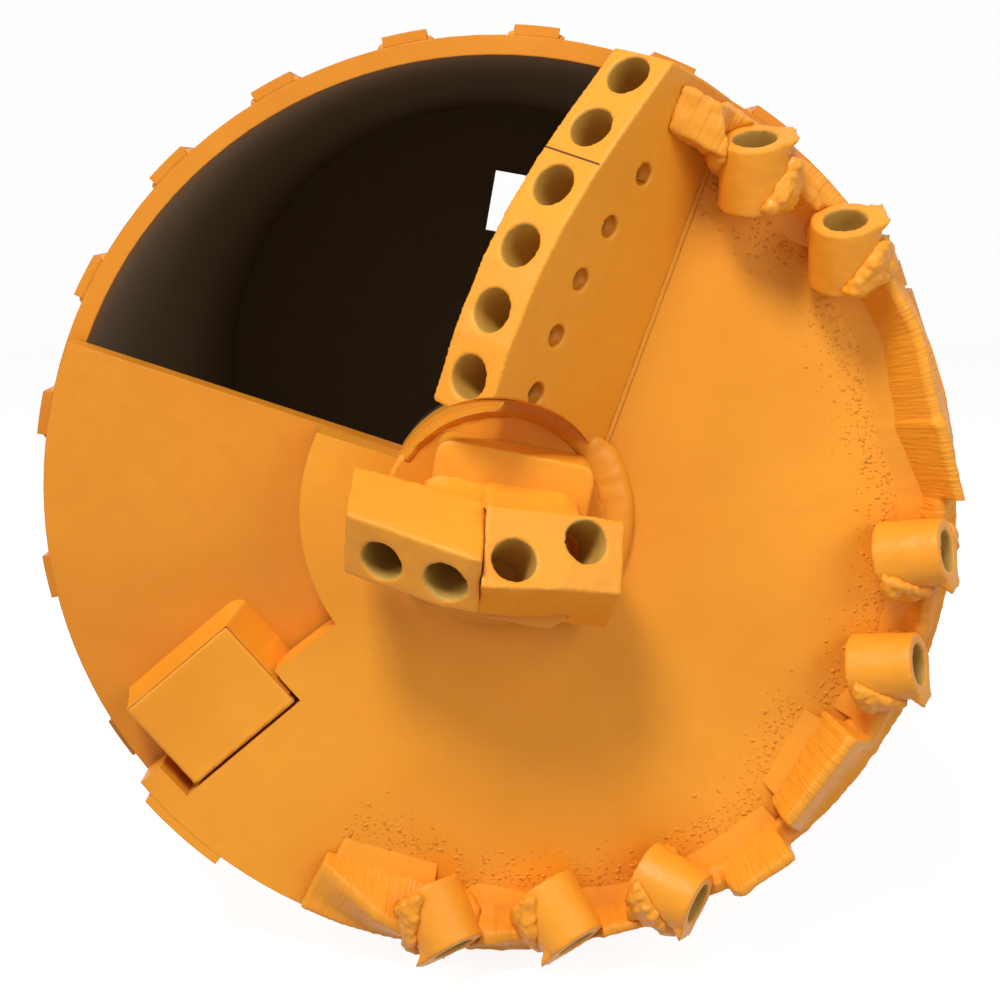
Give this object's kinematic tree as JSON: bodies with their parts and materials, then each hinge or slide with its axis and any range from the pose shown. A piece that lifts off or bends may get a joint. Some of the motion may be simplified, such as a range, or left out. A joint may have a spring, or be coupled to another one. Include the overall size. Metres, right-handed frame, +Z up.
{
  "type": "rock drilling bucket",
  "caption": "Cylindrical steel rock drilling bucket with a turning bottom plate, empty round tooth pockets, centre pilot, hinged door and square kelly socket.",
  "frame": {"origin": "centre of the kelly pin hole, on the bucket's axis", "axes": "the axis lies along Y with the cutting face towards -Y and the kelly socket towards +Y; +Z is up as it lies on the ground, +X along the kelly pin hole"},
  "size_m": [0.8962, 1.7116, 0.8977],
  "materials": {
    "paint": "satin",
    "pin_steel": "satin"
  },
  "bodies": {
    "shell": {"shell_tube": "paint", "lower_strips": "paint", "upper_strips": "paint", "top_plate": "paint", "kelly_box": "paint", "top_ribs": "paint", "hinge_lugs": "paint", "hinge_pin": "pin_steel", "latch_bracket": "paint", "latch_pin": "pin_steel", "rod_guides": "paint", "rod_cup": "paint"},
    "door": {"door_plate": "paint", "stop_block": "paint", "hinge_knuckle": "paint", "door_catch": "paint"},
    "rotor": {"rotor_plate": "paint", "rotor_strip": "paint", "rotor_shaft": "paint", "shaft_nut": "paint", "hub_flange": "paint", "pilot_shank": "paint", "pilot_wing_right": "paint", "pilot_wing_left": "paint", "row_outer_bar": "paint", "row_inner_bar": "paint", "rim_ring": "paint", "rim_holder_1": "paint", "rim_holder_2": "paint", "rim_holder_3": "paint", "rim_holder_4": "paint", "rim_holder_5": "paint", "rim_holder_6": "paint", "rim_holder_7": "paint"},
    "latch": {"latch_hook": "paint"},
    "rod": {"release_rod": "pin_steel", "rod_button": "paint"}
  },
  "joints": [
    {"name": "door_swing", "type": "hinge", "parent": "shell", "child": "door", "pos_m": [0.40031, -1.3, 0.1457], "axis": [-0.342, 0, 0.9397], "range_deg": [0, 90]},
    {"name": "rotor_turn", "type": "hinge", "parent": "door", "child": "rotor", "pos_m": [0, -1.37, 0], "axis": [0, -1, 0], "range_deg": [0, 100]},
    {"name": "rod_push", "type": "slide", "parent": "shell", "child": "rod", "axis": [0, -1, 0], "range_m": [-0.02, 0]},
    {"name": "latch_swing", "type": "hinge", "parent": "shell", "child": "latch", "pos_m": [-0.3148, -1.18, -0.11458], "axis": [-0.342, 0, 0.9397], "range_deg": [-22, 0]}
  ],
  "couplings": [
    {"joint": "latch_swing", "follows": "rod_push", "rad_per_m": 19.19}
  ]
}
